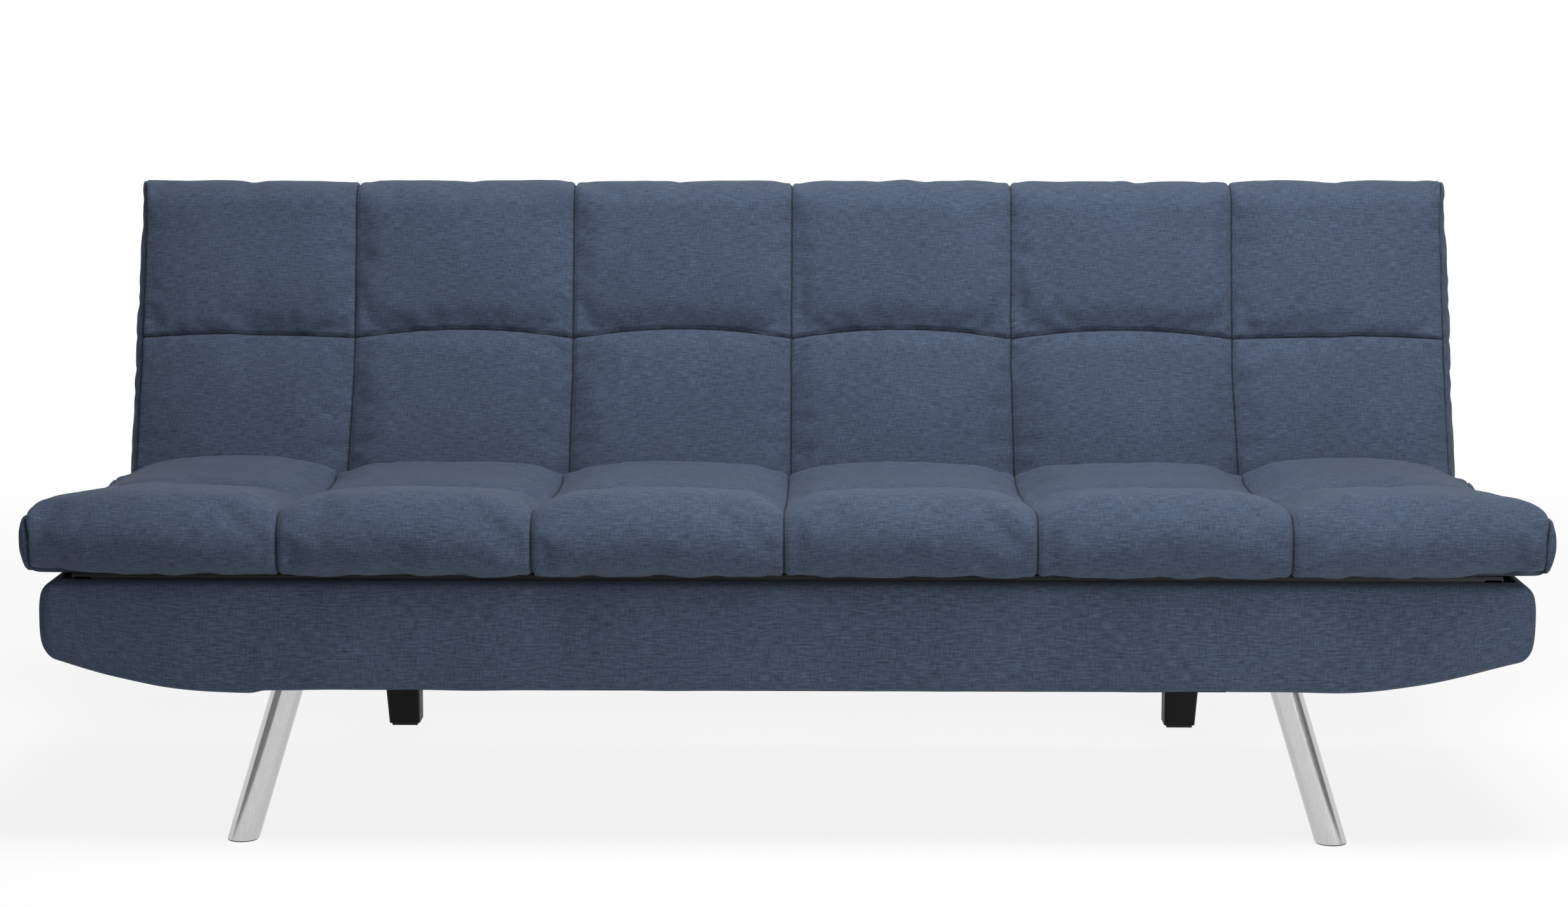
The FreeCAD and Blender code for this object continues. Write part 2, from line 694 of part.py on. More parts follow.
makeBase()
makeRunnersAndLegs()
makeSeatRests()
makeFrame("seat", seatFrameY0, seatFrameY1, seatRailZ, sideRailX,
          seatRailZ + railHeight - clipHeight / 2, Part.Shape.copy, seatBoltY)
backRailZ = -(backThickness + softClearance + feltThickness + railHeight)
makeFrame("back", backFrameInset, backHeight - backFrameInset, backRailZ, backSideX,
          backRailZ + railHeight - clipHeight / 2, leanBack, backBoltY)
makeHinges()
makePawls()
makePads()

everything = Part.makeCompound([shape for shapes in nodes.values() for shape in shapes])
bounds = everything.optimalBoundingBox(False, False)
centre = Vector(-(bounds.XMin + bounds.XMax) / 2, -(bounds.YMin + bounds.YMax) / 2, -bounds.ZMin)
os.makedirs("parts", exist_ok=True)
for name, shapes in nodes.items():
    whole = shapes[0] if len(shapes) == 1 else Part.makeCompound(shapes)
    whole.translate(centre)
    whole.exportStep("parts/" + name + ".step")
print("nodes", len(nodes))
print("size", round(bounds.XLength, 2), round(bounds.YLength, 2), round(bounds.ZLength, 2))
print("hinge axis", round(pivot.y + centre.y, 3), round(pivot.z + centre.z, 3))
print("pawl pin", round(pawlPinY + centre.y, 3), round(pawlPinZ + centre.z, 3))
print("shift", centre)
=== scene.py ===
import json
import math

import bpy
import numpy as np
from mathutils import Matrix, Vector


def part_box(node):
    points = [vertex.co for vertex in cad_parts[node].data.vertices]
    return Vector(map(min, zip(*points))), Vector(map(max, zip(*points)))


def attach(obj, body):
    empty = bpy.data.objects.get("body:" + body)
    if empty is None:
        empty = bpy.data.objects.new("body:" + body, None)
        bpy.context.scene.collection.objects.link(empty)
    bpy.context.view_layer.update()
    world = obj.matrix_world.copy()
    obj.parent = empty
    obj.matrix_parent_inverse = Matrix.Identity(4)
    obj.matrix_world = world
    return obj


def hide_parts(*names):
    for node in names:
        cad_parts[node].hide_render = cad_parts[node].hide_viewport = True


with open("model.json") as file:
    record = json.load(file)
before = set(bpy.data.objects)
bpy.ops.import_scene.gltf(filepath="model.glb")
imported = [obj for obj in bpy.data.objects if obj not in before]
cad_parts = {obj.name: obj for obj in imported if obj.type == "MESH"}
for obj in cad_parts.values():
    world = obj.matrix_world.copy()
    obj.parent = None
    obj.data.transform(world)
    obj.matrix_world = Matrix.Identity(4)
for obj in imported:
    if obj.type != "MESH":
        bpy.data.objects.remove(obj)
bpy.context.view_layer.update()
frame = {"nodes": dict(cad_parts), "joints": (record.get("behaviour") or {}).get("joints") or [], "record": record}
bpy.context.scene.view_settings.view_transform = "Standard"
rng = np.random.default_rng(41)


# ---- places read from the frame ----

def nodePoints(node):
    mesh = frame["nodes"][node].data
    points = np.empty(len(mesh.vertices) * 3)
    mesh.vertices.foreach_get("co", points)
    return points.reshape(-1, 3)


def jointNamed(name):
    return next(j for j in frame["joints"] if j["name"] == name)


hingeAt = np.array(jointNamed("back_recline")["pos_m"])
flatTurn = math.radians(jointNamed("back_recline")["range_deg"][1])  # from the sofa's lean to flat


def turned(points, angle):
    # turn about the hinge line: y and z are mixed by the sine and cosine of the angle
    y = points[..., 1] - hingeAt[1]
    z = points[..., 2] - hingeAt[2]
    out = points.copy()
    out[..., 1] = hingeAt[1] + y * math.cos(angle) - z * math.sin(angle)
    out[..., 2] = hingeAt[2] + y * math.sin(angle) + z * math.cos(angle)
    return out


def layFlat(points):
    return turned(points, -flatTurn)


def leanBack(points):
    return turned(points, flatTurn)


seatLow, seatHigh = (np.array(c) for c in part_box("seat_pad"))
backFlat = layFlat(nodePoints("back_pad"))
backLow, backHigh = backFlat.min(axis=0), backFlat.max(axis=0)
backFrame = layFlat(np.vstack([nodePoints("back_left_rail"), nodePoints("back_right_rail")]))
frameLow, frameHigh = backFrame.min(axis=0), backFrame.max(axis=0)
clothFlat = layFlat(nodePoints("back_rear_cloth"))


# ---- mesh helpers ----

def gridQuads(index, closeU=False, closeV=False):
    # one quad for each cell of a table of point numbers, wrapped where a side closes
    if closeU:
        index = np.vstack([index, index[:1]])
    if closeV:
        index = np.hstack([index, index[:, :1]])
    corners = [index[:-1, :-1], index[1:, :-1], index[1:, 1:], index[:-1, 1:]]
    return np.stack(corners, axis=-1).reshape(-1, 4)


def cornerValues(grid):
    # the values at each quad's four corners, in the order of gridQuads
    corners = [grid[:-1, :-1], grid[1:, :-1], grid[1:, 1:], grid[:-1, 1:]]
    return np.stack(corners, axis=2).reshape(-1, grid.shape[-1])


def signedVolume(points, quads):
    # sum of the six-fold volumes between the origin and each half of each quad, over six
    a, b, c, d = (points[quads[:, i]] for i in range(4))
    return (np.einsum("ij,ij", a, np.cross(b, c)) + np.einsum("ij,ij", a, np.cross(c, d))) / 6


def meshObject(name, points, quads, uv=None, attributes=None):
    # a closed surface whose faces point inwards has a negative volume, and is turned round
    if signedVolume(points, quads) < 0:
        quads = quads[:, ::-1]
        uv = None if uv is None else uv.reshape(-1, 4, 2)[:, ::-1].reshape(-1, 2)
    mesh = bpy.data.meshes.new(name)
    mesh.from_pydata(points.tolist(), [], quads.tolist())
    if uv is not None:
        layer = mesh.uv_layers.new(name="cloth")
        layer.data.foreach_set("uv", uv.astype(np.float32).ravel())
    for key, values in (attributes or {}).items():
        made = mesh.attributes.new(key, "FLOAT", "POINT")
        made.data.foreach_set("value", values.astype(np.float32).ravel())
    mesh.validate()
    mesh.update()
    mesh.shade_smooth()
    piece = bpy.data.objects.new(name, mesh)
    bpy.context.scene.collection.objects.link(piece)
    return piece


def readPoints(mesh):
    points = np.empty(len(mesh.vertices) * 3, dtype=np.float32)
    mesh.vertices.foreach_get("co", points)
    return points.reshape(-1, 3).astype(float)


def readNormals(mesh):
    normals = np.empty(len(mesh.vertices) * 3, dtype=np.float32)
    mesh.vertex_normals.foreach_get("vector", normals)
    return normals.reshape(-1, 3).astype(float)


def readValues(mesh, key):
    values = np.empty(len(mesh.vertices), dtype=np.float32)
    mesh.attributes[key].data.foreach_get("value", values)
    return values.astype(float)


def writePoints(mesh, points):
    mesh.vertices.foreach_set("co", points.astype(np.float32).ravel())
    mesh.update()


def subdivided(piece, levels=1):
    finer = piece.modifiers.new("finer", "SUBSURF")
    finer.levels = levels
    finer.render_levels = levels
    bakeModifiers(piece)


def bakeModifiers(piece):
    graph = bpy.context.evaluated_depsgraph_get()
    made = bpy.data.meshes.new_from_object(piece.evaluated_get(graph))
    piece.modifiers.clear()
    piece.data = made
    made.shade_smooth()


def smoothNoise(points, size, seed, octaves=3):
    # sum of sine waves in random directions; each octave halves the length and the height
    waves = np.random.default_rng(seed)
    total = np.zeros(len(points))
    for octave in range(octaves):
        for _ in range(5):
            way = waves.normal(size=3)
            way *= 2 * math.pi / (np.linalg.norm(way) * size * 0.5 ** octave)
            total += np.sin(points @ way + waves.uniform(0, 2 * math.pi)) * 0.5 ** octave
    return total / 4.0


def mixedSteps(count, pull):
    # from -1 to 1: even steps mixed with a sine, so that they crowd towards both ends
    even = np.linspace(-1, 1, count + 1)
    return (1 - pull) * even + pull * np.sin(even * math.pi / 2)


def swell(t, power=2.4, root=0.55):
    # 0 at t = -1 and 1, and a broad crown between them: (1 - |t|^power)^root
    return np.clip(1 - np.abs(t) ** power, 0, 1) ** root


# ---- quilted pads ----

def roundedOutline(depth, thick, radii, samples=24):
    # closed outline in (p, z), anticlockwise from the low nose corner: four quarter
    # circles joined by straight runs, with p from the foot to the nose
    noseLow, noseTop, footTop, footLow = radii
    centres = [(depth - noseLow, noseLow), (depth - noseTop, thick - noseTop),
               (footTop, thick - footTop), (footLow, footLow)]
    pieces = []
    for (cp, cz), radius, start in zip(centres, radii, (-90, 0, 90, 180)):
        angle = np.radians(np.linspace(start, start + 90, samples))
        pieces.append(np.stack([cp + radius * np.cos(angle), cz + radius * np.sin(angle)], axis=1))
    corners = np.vstack(pieces + [pieces[0][:1]])
    runs = np.hypot(*np.diff(corners, axis=0).T)
    return corners, np.concatenate([[0], np.cumsum(runs)])


def outlineAt(corners, lengths, s):
    # point and outward normal of the outline at arc length s, which wraps
    total = lengths[-1]
    step = 0.002

    def place(at):
        at = np.mod(at, total)
        return np.interp(at, lengths, corners[:, 0]), np.interp(at, lengths, corners[:, 1])

    p, z = place(s)
    p1, z1 = place(s + step)
    p0, z0 = place(s - step)
    run = np.hypot(p1 - p0, z1 - z0)
    return p, z, (z1 - z0) / run, -(p1 - p0) / run


def fallToSeam(t, power, root):
    # 1 along a row, then down to 0 at its seam, at t = 1
    late = np.clip((t + 0.25) / 1.25, 0, 1)
    return np.clip(1 - late ** power, 0, 1) ** root


def panelSteps(spec):
    # x of every station, its place -1..1 in its panel, and the panel's number
    edges = np.concatenate([[-spec["half"]], spec["seams"], [spec["half"]]])
    inPanel = mixedSteps(spec["across"], spec["pull"])
    x = [a + (b - a) * (inPanel[:-1] + 1) / 2 for a, b in zip(edges[:-1], edges[1:])]
    count = len(edges) - 1
    return (np.concatenate(x + [[spec["half"]]]), np.append(np.tile(inPanel[:-1], count), 1.0),
            np.append(np.repeat(np.arange(count), spec["across"]), count - 1), edges)


def quiltedPad(spec):
    # A tube round the outline, carried along x, with a gusset at each end.
    # Each point moves along the outline's normal by
    #   lift(s) - valley(s) * (1 - swell(across the panel) * fall(along the row)),
    # so that the crests lie on the lifted outline and the seams are drawn in from it
    depth, thick, half = spec["depth"], spec["thick"], spec["half"]
    corners, lengths = roundedOutline(depth, thick, spec["radii"])
    total = lengths[-1]
    noseLow, noseTop, footTop, footLow = spec["radii"]
    onTop = corners[:, 1] > thick - 1e-6
    sMiddle = np.interp(-spec["middle"], -corners[onTop, 0], lengths[onTop])
    sNose = spec["noseSeam"]
    sFoot = total - (depth - noseLow - footLow) - spec["footSeam"]
    steps, side = spec["along"], spec["sideSteps"]
    inRow = mixedSteps(steps, spec["pull"])[:-1]
    under = 2 * steps - 2 * side
    bottom = np.linspace(sFoot, total + sNose, under + 1)[:-1]
    s = np.concatenate([sNose + (sMiddle - sNose) * (inRow + 1) / 2,
                        sMiddle + (sFoot - sMiddle) * (inRow + 1) / 2, bottom])
    onSkin = np.append(np.ones(2 * steps), np.zeros(under))
    along = np.concatenate([fallToSeam(inRow, *spec["fall"]), fallToSeam(-inRow, *spec["fall"]),
                            np.ones(under)])
    share = np.clip((s - sNose) / (sFoot - sNose), 0, 1)
    low = np.clip((bottom - sFoot) / (total + sNose - sFoot), 0, 1)
    valley = np.interp(share, *zip(*spec["valley"]))
    lift = np.interp(share, *zip(*spec["lift"]))
    # under the pad both offsets change evenly from the foot seam's to the nose seam's
    valley[2 * steps:] = spec["valley"][-1][1] * (1 - low) + spec["valley"][0][1] * low
    lift[2 * steps:] = spec["lift"][-1][1] * (1 - low) + spec["lift"][0][1] * low

    x, xi, panel, edges = panelSteps(spec)
    fromColumn = np.abs(x[:, None] - edges[None, :]).min(axis=1)
    fromRow = np.minimum.reduce([np.abs(s - sNose), np.abs(s - sMiddle), np.abs(s - sFoot),
                                 np.abs(s - sNose - total)])
    across = swell(xi, *spec["swell"])
    outerHalf = ((panel == 0) & (xi < 0)) | ((panel == len(edges) - 2) & (xi > 0))
    depthShare = np.where(outerHalf, spec["endShare"], 1.0) * np.array(spec["fullness"])[panel]
    # the middle seam rises between the columns
    rise = np.array(spec["scallop"])[panel] * np.clip(1 - xi ** 2, 0, 1)
    near = np.exp(-((s - sMiddle) / 0.10) ** 2)
    sGrid = s[None, :] - rise[:, None] * near[None, :]
    bow = np.interp(share, *zip(*spec["bow"]))
    toEnd = np.interp(np.abs(x), [0, edges[-2], half], [0, 1, 0.4])
    xGrid = x[:, None] + np.sign(x)[:, None] * toEnd[:, None] * bow[None, :] * onSkin[None, :]
    p, z, normalP, normalZ = outlineAt(corners, lengths, sGrid)
    off = lift[None, :] - (valley[None, :] * depthShare[:, None]
                           * (1 - across[:, None] * along[None, :]))
    # the end panels stand higher than the others over the rear row, and droop to their seam
    atEnd = (panel == 0) | (panel == len(edges) - 2)
    rearward = np.clip((share - 0.3) / 0.4, 0, 1) * np.clip((1 - share) / 0.1, 0, 1)
    off = off + spec["endLift"] * (atEnd * across)[:, None] * (rearward * onSkin)[None, :]
    droop = np.exp(-((half - np.abs(x)) / spec["droopWidth"]) ** 2)[:, None]
    off = off - np.interp(share, *zip(*spec["droop"]))[None, :] * droop * onSkin[None, :]
    off = off * np.where(onSkin > 0.5, 1.0, 0.5)[None, :]
    pOut = p + normalP * off
    zOut = z + normalZ * off

    # dog ears: the top corners of the nose stand out at both ends
    sEar = noseLow * math.pi / 2 + (thick - noseLow - noseTop) + noseTop * math.pi / 4
    near = (np.exp(-((sGrid - sEar) / spec["earWidth"]) ** 2)
            * np.exp(-((half - np.abs(x)) / spec["earWidth"]) ** 2)[:, None])
    pOut = pOut + normalP * spec["ear"] * near
    zOut = zOut + normalZ * spec["ear"] * near
    xGrid = xGrid + np.sign(x)[:, None] * spec["earOut"] * near

    count = len(s)
    index = np.arange(len(x) * count).reshape(len(x), count)
    points = [np.stack([xGrid, pOut, zOut], axis=-1).reshape(-1, 3)]
    quads = [gridQuads(index, closeV=True)]
    uv = [cornerValues(np.stack([np.repeat(x[:, None], count + 1, axis=1),
                                 np.repeat(np.append(s, total + sNose)[None, :], len(x), axis=0)],
                                axis=-1))]
    values = {
        "fromColumn": [np.repeat(fromColumn[:, None], count, 1)],
        "fromRow": [np.repeat(fromRow[None, :], len(x), 0)],
        "skin": [np.repeat(onSkin[None, :], len(x), 0)],
        "gusset": [np.zeros((len(x), count))],
    }

    # gussets: a patch blended from its four sides, bulging outwards
    for end, sign in ((0, -1), (len(x) - 1, 1)):
        ring = points[0].reshape(len(x), count, 3)[end]
        number = index[end]
        nose, foot = slice(0, side + 1), slice(2 * steps - side, 2 * steps + 1)
        top = slice(side, 2 * steps - side + 1)
        low = np.append(np.arange(2 * steps, count), 0)[::-1]
        a, b = 2 * steps - 2 * side + 1, side + 1
        ta = np.linspace(0, 1, a)[:, None, None]
        tb = np.linspace(0, 1, b)[None, :, None]
        noseLine, footLine = ring[nose][None, :, :], ring[foot][::-1][None, :, :]
        lowLine, topLine = ring[low][:, None, :], ring[top][:, None, :]
        patch = ((1 - tb) * lowLine + tb * topLine + (1 - ta) * noseLine + ta * footLine
                 - (1 - ta) * ((1 - tb) * ring[0] + tb * ring[side])
                 - ta * ((1 - tb) * ring[2 * steps] + tb * ring[2 * steps - side]))
        bulge = (swell(2 * ta - 1, 8, 0.6) * swell(2 * tb - 1, 2.2, 0.6))[..., 0]
        patch[..., 0] += sign * spec["gusset"] * bulge
        start = sum(len(block) for block in points)
        table = np.empty((a, b), dtype=int)
        table[:, 0], table[:, -1] = number[low], number[top]
        table[0, :], table[-1, :] = number[nose], number[foot][::-1]
        table[1:-1, 1:-1] = start + np.arange((a - 2) * (b - 2)).reshape(a - 2, b - 2)
        points.append(patch[1:-1, 1:-1].reshape(-1, 3))
        if sign < 0:
            table, patch = table[::-1], patch[::-1]
        quads.append(gridQuads(table))
        uv.append(cornerValues(patch[..., 1:]) + np.array([0.31, 0.17]))
        edge = np.minimum(np.minimum(ta, 1 - ta) * depth, np.minimum(tb, 1 - tb) * thick)
        edge = edge[1:-1, 1:-1, 0].ravel()
        values["fromColumn"].append(edge)
        values["fromRow"].append(np.full(edge.size, 0.2))
        values["skin"].append(np.ones(edge.size))
        values["gusset"].append(np.ones(edge.size))
    attributes = {key: np.concatenate([np.ravel(block) for block in blocks])
                  for key, blocks in values.items()}
    return np.vstack(points), np.vstack(quads), np.vstack(uv), attributes


def simulate(piece, held, spec):
    # pressure blows the cloth out from its held seams; no point moves further than the cap
    group = piece.vertex_groups.new(name="held")
    for weight in np.unique(np.round(held, 1)):
        if weight > 0:
            group.add(np.flatnonzero(np.round(held, 1) == weight).tolist(), float(weight), "REPLACE")
    cloth = piece.modifiers.new("cloth", "CLOTH")
    settings = cloth.settings
    settings.quality = spec["quality"]
    settings.mass = spec["mass"]
    settings.tension_stiffness = spec["stiffness"]
    settings.compression_stiffness = spec["stiffness"]
    settings.shear_stiffness = spec["shear"]
    settings.bending_stiffness = spec["bending"]
    settings.use_pressure = True
    settings.uniform_pressure_force = spec["pressure"]
    settings.vertex_group_mass = "held"
    settings.pin_stiffness = 1.0
    settings.shrink_min = spec["slack"]
    settings.effector_weights.gravity = 0
    cloth.point_cache.frame_start = 1
    cloth.point_cache.frame_end = spec["frames"]
    start = readPoints(piece.data)
    scene = bpy.context.scene
    for now in range(1, spec["frames"] + 1):
        scene.frame_set(now)
    graph = bpy.context.evaluated_depsgraph_get()
    blown = piece.evaluated_get(graph).to_mesh()
    ended = readPoints(blown)
    move = ended - start
    reach = np.linalg.norm(move, axis=1)
    print("cloth", piece.name, "moved", round(float(reach.max()), 4), round(float(reach.mean()), 4))
    move *= np.minimum(1, spec["cap"] / np.maximum(reach, 1e-9))[:, None]
    piece.modifiers.clear()
    piece.vertex_groups.clear()
    scene.frame_set(1)
    writePoints(piece.data, start + move)


def sewSeams(piece, spec):
    # a narrow groove on every seam, with puckers beside it that fade over a hand's breadth,
    # and low soft folds; each is a height along the surface's normal
    mesh = piece.data
    points = readPoints(mesh)
    normals = readNormals(mesh)
    column = readValues(mesh, "fromColumn")
    row = readValues(mesh, "fromRow")
    skin = readValues(mesh, "skin")
    seam = np.minimum(column, row)
    groove = -spec["groove"] * np.exp(-(seam / spec["grooveWidth"]) ** 2)
    wave = points * np.array([0.35, 1.0, 1.0])
    besideColumn = smoothNoise(wave, spec["puckerSize"], spec["seed"], 2) * np.exp(-column / 0.028)
    wave = points * np.array([1.0, 0.35, 0.35])
    besideRow = smoothNoise(wave, spec["puckerSize"], spec["seed"] + 1, 2) * np.exp(-row / 0.03)
    away = 1 - np.exp(-(seam / 0.006) ** 2)
    folds = smoothNoise(points * np.array([1.6, 0.8, 0.8]), 0.16, spec["seed"] + 2, 2)
    height = groove + spec["pucker"] * (besideColumn + besideRow) * away + spec["folds"] * folds * away
    writePoints(mesh, points + normals * (height * skin)[:, None])
    # painted shade: seamShade is 1 in each seam's groove and fades beside it, and the cloth's colour is darkened
    # by it there
    depth = np.exp(-(seam / (spec["grooveWidth"] * 1.3)) ** 2) * skin
    made = mesh.attributes.new("seamShade", "FLOAT", "POINT")
    made.data.foreach_set("value", depth.astype(np.float32))


# ---- the seat pad ----

seatPad = {
    "half": 0.958, "seams": (-0.642, -0.3205, -0.001, 0.3185, 0.639), "across": 28, "along": 40,
    "sideSteps": 10, "pull": 0.35,
    "depth": seatHigh[1] - seatLow[1], "thick": seatHigh[2] - seatLow[2],
    "radii": (0.026, 0.044, 0.062, 0.026), "noseSeam": -0.014, "footSeam": 0.0,
    "middle": 0.275, "swell": (2.6, 0.55), "fall": (2.4, 0.6),
    "valley": ((0, 0.003), (0.05, 0.007), (0.1, 0.011), (0.17, 0.016), (0.25, 0.021), (0.55, 0.022),
               (0.8, 0.018), (0.9, 0.009), (1, 0.003)),
    "lift": ((0, 0), (0.05, 0.001), (0.1, 0.003), (0.17, 0.006), (0.24, 0.007), (0.35, -0.001),
             (0.52, -0.014), (0.70, -0.024), (0.80, -0.025), (0.9, -0.010), (1, 0)),
    "droop": ((0, 0.012), (0.05, 0.009), (0.1, 0.003), (0.16, 0.004), (0.25, 0.007), (0.6, 0.011),
              (0.84, 0.016), (0.94, 0.012), (1, 0.006)),
    "droopWidth": 0.080, "endShare": 0.45, "endLift": 0.008,
    "scallop": (-0.004, -0.005, -0.005, -0.005, -0.005, -0.004),
    "bow": ((0, 0.0), (0.1, 0.0), (1, 0.0)),
    "fullness": (0.95, 0.97, 1.0, 1.03, 1.0, 0.95),
    "ear": 0.009, "earOut": 0.004, "earWidth": 0.014, "gusset": 0.013,
}
seatCloth = {
    "quality": 5, "mass": 0.3, "stiffness": 12.0, "shear": 4.0, "bending": 0.3,
    "pressure": 4.0, "slack": -0.02, "frames": 16, "cap": 0.0075,
}
seatSeams = {
    "groove": 0.0045, "grooveWidth": 0.0022, "pucker": 0.0009, "puckerSize": 0.03,
    "folds": 0.0012, "seed": 5,
}


def heldWeights(attributes):
    # seams and the underside stay where they are sewn
    near = np.minimum(attributes["fromColumn"], attributes["fromRow"])
    return np.where((near < 0.0015) | (attributes["skin"] < 0.5), 1.0, 0.0)


def makePad(name, spec, clothSpec, seamSpec, place):
    points, quads, uv, attributes = quiltedPad(spec)
    piece = meshObject(name, place(points), quads, uv, attributes)
    simulate(piece, heldWeights(attributes), clothSpec)
    subdivided(piece)
    sewSeams(piece, seamSpec)
    return piece


def placeSeat(points):
    # the pad's foot is at the sofa's rear, and its nose is the front edge
    return np.stack([points[:, 0], seatHigh[1] - points[:, 1], seatLow[2] + points[:, 2]], axis=1)


def placeBack(points):
    flat = np.stack([points[:, 0], backLow[1] + points[:, 1], backLow[2] + points[:, 2]], axis=1)
    return leanBack(flat)


seatPiece = makePad("seatQuilt", seatPad, seatCloth, seatSeams, placeSeat)
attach(seatPiece, "seat")
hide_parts("seat_pad")
print("seat pad made", len(seatPiece.data.polygons))


# ---- the back pad ----

backPad = {
    "half": 0.951, "seams": (-0.638, -0.3185, 0.001, 0.3215, 0.643), "across": 28, "along": 40,
    "sideSteps": 11, "pull": 0.35,
    "depth": backHigh[1] - backLow[1], "thick": backHigh[2] - backLow[2],
    "radii": (0.030, 0.044, 0.040, 0.030), "noseSeam": 0.024, "footSeam": 0.024,
    "middle": 0.262, "swell": (2.6, 0.55), "fall": (2.4, 0.6),
    "valley": ((0, 0.003), (0.13, 0.004), (0.17, 0.008), (0.22, 0.013), (0.3, 0.016), (0.55, 0.016),
               (0.8, 0.018), (0.9, 0.010), (1, 0.004)),
    "lift": ((0, 0), (0.12, 0.001), (0.3, 0.003), (0.7, 0.003), (1, 0)),
    "droop": ((0, 0), (0.14, 0.001), (0.25, 0.008), (0.8, 0.010), (1, 0)),
    "droopWidth": 0.060, "endShare": 0.45, "endLift": 0.0,
    "scallop": (0.004, 0.013, 0.014, 0.014, 0.013, 0.003),
    "bow": ((0, 0.002), (0.2, 0.002), (0.55, -0.002), (0.85, 0.006), (1, 0.006)),
    "fullness": (0.95, 1.0, 1.0, 1.03, 1.0, 0.95),
    "ear": 0.010, "earOut": 0.004, "earWidth": 0.014, "gusset": 0.010,
}
backCloth = dict(seatCloth, cap=0.0055)
backSeams = dict(seatSeams, seed=17)


def carvePocket(piece):
    # behind the pad's ends the hinge stands in a pocket, open to the foot and the rear:
    # points there are lifted to a thin front wall
    nut = nodePoints("hinge_nuts")
    bolt = nodePoints("hinge_bolt_right")
    inner = np.abs(nut[:, 0]).min() - 0.006
    outer = np.abs(bolt[:, 0]).max() + 0.003
    mesh = piece.data
    points = layFlat(readPoints(mesh))
    pivotAlong = hingeAt[1] - backLow[1]
    along = points[:, 1] - backLow[1]
    wall = backHigh[2] - 0.030
    x = np.abs(points[:, 0])
    inside = (x > inner) & (x < outer) & (along < pivotAlong + 0.05) & (points[:, 2] < wall)
    points[inside, 2] = wall + 0.1 * (points[inside, 2] - wall)
    writePoints(mesh, leanBack(points))


backPiece = makePad("backQuilt", backPad, backCloth, backSeams, placeBack)
carvePocket(backPiece)
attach(backPiece, "backrest")
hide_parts("back_pad")
print("back pad made", len(backPiece.data.polygons))


# ---- the wrap over the back's frame ----

rearWrap = {
    "half": frameHigh[0] + 0.001, "seams": (0.0,), "across": 60, "along": 24, "sideSteps": 5,
    "pull": 0.3, "depth": frameHigh[1] - frameLow[1] + 0.016,
    "thick": backLow[2] - clothFlat[:, 2].min() + 0.004,
    "radii": (0.010, 0.004, 0.004, 0.010), "noseSeam": 0.004, "footSeam": 0.004, "middle": 0.24,
    "swell": (2.0, 0.5), "fall": (2.0, 0.5), "valley": ((0, 0), (1, 0)), "lift": ((0, 0), (1, 0)),
    "droop": ((0, 0), (1, 0)), "droopWidth": 0.1, "endShare": 1.0, "endLift": 0.0,
    "scallop": (0.0, 0.0),
    "bow": ((0, 0), (1, 0)), "fullness": (1.0, 1.0), "ear": 0.0, "earOut": 0.0, "earWidth": 0.01,
    "gusset": 0.002, "hollow": 0.004, "ripple": 0.0012,
}
def makeRearWrap():
    points, quads, uv, attributes = quiltedPad(rearWrap)
    low = np.array([0.0, frameLow[1] - 0.008, backLow[2] - rearWrap["thick"] - 0.002])
    flat = points + low
    # the cloth is drawn in a little between the rails
    inX = swell(flat[:, 0] / rearWrap["half"], 4, 0.7)
    inY = swell((flat[:, 1] - low[1]) / rearWrap["depth"] * 2 - 1, 4, 0.7)
    rear = np.clip(1 - (flat[:, 2] - low[2]) / 0.01, 0, 1)
    flat[:, 2] += rearWrap["hollow"] * inX * inY * rear
    flat[:, 2] += rearWrap["ripple"] * smoothNoise(flat * np.array([1, 1, 0]), 0.3, 23, 2) * rear
    piece = meshObject("rearWrap", leanBack(flat), quads, uv, attributes)
    subdivided(piece)
    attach(piece, "backrest")
    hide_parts("back_rear_cloth")
    return piece


rearPiece = makeRearWrap()
print("rear wrap made", len(rearPiece.data.polygons))


# ---- the base box's cover ----

baseLow, baseHigh = (np.array(c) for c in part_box("base_front_cover"))
rearCoverHigh = np.array(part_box("base_rear_cover")[1])
baseWrap = {
    "flat": 0.690, "rise": 0.036, "lowRadius": 0.028, "topRadius": 0.024,
    "planRadius": 0.016, "edge": 0.010, "deep": 0.027, "proud": 0.0025, "faceSteps": 22, "turnSteps": 7,
    "crown": 0.0016, "wave": 0.0008,
    "sag": ((-0.96, 0.000), (-0.90, 0.003), (-0.80, 0.0070), (-0.674, 0.0070), (-0.668, 0.0030),
            (-0.30, 0.0026), (0.0, 0.0022), (0.6, 0.0022), (0.75, 0.003), (0.85, 0.001), (0.96, 0.000)),
}


def boatUnderside(x):
    # level, then an arc that leaves it tangentially, then a rounded corner
    half = baseHigh[0]
    run = half - baseWrap["lowRadius"] - baseWrap["flat"]
    radius = (run ** 2 + baseWrap["rise"] ** 2) / (2 * baseWrap["rise"])
    out = np.clip(np.abs(x) - baseWrap["flat"], 0, run)
    z = baseLow[2] + radius - np.sqrt(radius ** 2 - out ** 2)
    past = np.clip(np.abs(x) - (half - baseWrap["lowRadius"]), 0, baseWrap["lowRadius"])
    return z + baseWrap["lowRadius"] - np.sqrt(baseWrap["lowRadius"] ** 2 - past ** 2)


def boatTop(x):
    half = baseHigh[0]
    past = np.clip(np.abs(x) - (half - baseWrap["topRadius"]), 0, baseWrap["topRadius"])
    return baseHigh[2] - baseWrap["topRadius"] + np.sqrt(baseWrap["topRadius"] ** 2 - past ** 2)


